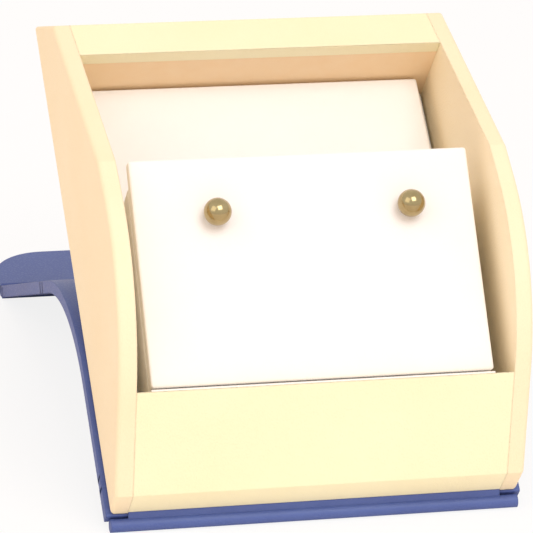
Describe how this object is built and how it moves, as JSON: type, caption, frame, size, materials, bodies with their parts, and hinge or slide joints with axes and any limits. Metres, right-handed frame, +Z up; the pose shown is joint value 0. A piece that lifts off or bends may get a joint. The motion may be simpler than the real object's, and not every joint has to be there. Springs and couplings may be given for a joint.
{
  "type": "earring gift box",
  "caption": "Domed earring gift box standing open: the tray leans on its folded wrap-over cover, and a raised flap inside holds ball studs.",
  "frame": {"origin": "centre of the bounding box's bottom, on the table that the open box stands on", "axes": "+X to the right as seen from the front, +Y towards the back, +Z up"},
  "size_m": [0.061, 0.1044, 0.0579],
  "materials": {
    "cream_leatherette": "satin",
    "cream_lining": "matte",
    "blue_leatherette": "satin",
    "cover_lining": "matte",
    "grey_board": "matte",
    "base_paper": "matte",
    "magnet_steel": "satin",
    "white_card": "matte",
    "white_foam": "matte",
    "white_velvet_paper": "matte",
    "gold_plated_brass": "polished"
  },
  "bodies": {
    "tray": {"left_side_panel": "cream_leatherette", "right_side_panel": "cream_leatherette", "front_rail": "cream_leatherette", "front_inner_wall": "cream_lining", "rear_rail": "cream_leatherette", "rear_inner_wall": "cream_lining", "base_board": "grey_board", "base_paper": "base_paper", "tray_magnets": "magnet_steel", "front_fold": "blue_leatherette"},
    "spine": {"spine_board": "grey_board", "spine_lining": "cover_lining", "spine_wrap": "blue_leatherette"},
    "front_cover": {"spine_fold": "blue_leatherette", "front_cover_board": "grey_board", "front_cover_lining": "cover_lining", "front_cover_wrap": "blue_leatherette"},
    "back_cover": {"crown_fold": "blue_leatherette", "back_cover_board": "grey_board", "back_cover_lining": "cover_lining", "back_cover_wrap": "blue_leatherette"},
    "end_flap": {"flap_fold": "blue_leatherette", "end_flap_board": "grey_board", "end_flap_lining": "cover_lining", "end_flap_wrap": "blue_leatherette", "flap_magnets": "magnet_steel"},
    "insert": {"insert_card": "white_card", "pad_foam": "white_foam", "pad_cover": "white_velvet_paper", "flap_riser": "white_foam", "flap_hinge_tape": "white_velvet_paper"},
    "earring_flap": {"earring_flap_card": "white_card", "earring_flap_cover": "white_velvet_paper"},
    "left_earring": {"left_ball": "gold_plated_brass", "left_post": "gold_plated_brass"},
    "right_earring": {"right_ball": "gold_plated_brass", "right_post": "gold_plated_brass"},
    "left_back": {"left_back": "gold_plated_brass"},
    "right_back": {"right_back": "gold_plated_brass"}
  },
  "joints": [
    {"name": "spine_hinge", "type": "hinge", "parent": "tray", "child": "spine", "pos_m": [0, -0.04941, 0.00095], "axis": [-1, 0, 0], "range_deg": [0, 269.6]},
    {"name": "front_fold_hinge", "type": "hinge", "parent": "spine", "child": "front_cover", "pos_m": [0, -0.04406, 0.00493], "axis": [-1, 0, 0], "range_deg": [0, 37]},
    {"name": "crown_fold_hinge", "type": "hinge", "parent": "front_cover", "child": "back_cover", "pos_m": [0, 0.00385, 0.01568], "axis": [-1, 0, 0], "range_deg": [0, 17.49]},
    {"name": "flap_fold_hinge", "type": "hinge", "parent": "back_cover", "child": "end_flap", "pos_m": [0, 0.03799, 0.00095], "axis": [-1, 0, 0], "range_deg": [0, 54.95]},
    {"name": "insert_lift", "type": "slide", "parent": "tray", "child": "insert", "axis": [0, -0.6027, 0.7979], "range_m": [0, 0.04]},
    {"name": "earring_flap_lift", "type": "hinge", "parent": "insert", "child": "earring_flap", "pos_m": [0, -0.05064, 0.02188], "axis": [1, 0, 0], "range_deg": [0, 75]},
    {"name": "left_earring_pull", "type": "slide", "parent": "earring_flap", "child": "left_earring", "axis": [0, -0.7811, 0.6243], "range_m": [0, 0.014]},
    {"name": "left_back_pull", "type": "slide", "parent": "earring_flap", "child": "left_back", "axis": [0, 0.7811, -0.6243], "range_m": [0, 0.009]},
    {"name": "right_earring_pull", "type": "slide", "parent": "earring_flap", "child": "right_earring", "axis": [0, -0.7811, 0.6243], "range_m": [0, 0.014]},
    {"name": "right_back_pull", "type": "slide", "parent": "earring_flap", "child": "right_back", "axis": [0, 0.7811, -0.6243], "range_m": [0, 0.009]}
  ],
  "couplings": [
    {"joint": "spine_hinge", "follows": "front_fold_hinge", "ratio": 7.2865},
    {"joint": "crown_fold_hinge", "follows": "front_fold_hinge", "ratio": 0.4727},
    {"joint": "flap_fold_hinge", "follows": "front_fold_hinge", "ratio": 1.4851}
  ]
}
